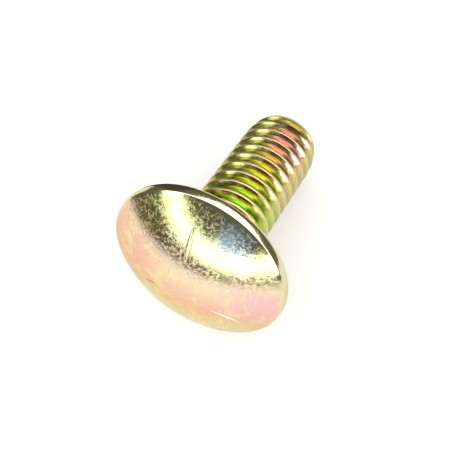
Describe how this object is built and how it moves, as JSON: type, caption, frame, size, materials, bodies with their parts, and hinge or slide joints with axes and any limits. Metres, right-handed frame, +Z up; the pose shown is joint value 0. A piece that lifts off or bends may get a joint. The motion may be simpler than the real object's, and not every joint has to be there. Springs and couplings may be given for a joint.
{
  "type": "carriage bolt",
  "caption": "Short round-head carriage bolt: low domed head with raised radial lines, square neck, and a coarse right-hand thread right up to the neck, plated yellow zinc.",
  "frame": {"origin": "on the ground, below the middle of the bolt as it lies on its head's rim and on a thread crest near the tip", "axes": "+X from the head towards the tip, with the tip 15.7 degrees below level; +Y across the bolt; +Z up; the bolt's own axis lies in the XZ plane"},
  "size_m": [0.0234, 0.0174, 0.017],
  "materials": {
    "plating": "steel plated with glossy yellow zinc, shimmering olive, gold, green and pink, with small scratches and specks"
  },
  "bodies": {
    "root": {"carriage_bolt": "plating"}
  },
  "joints": []
}
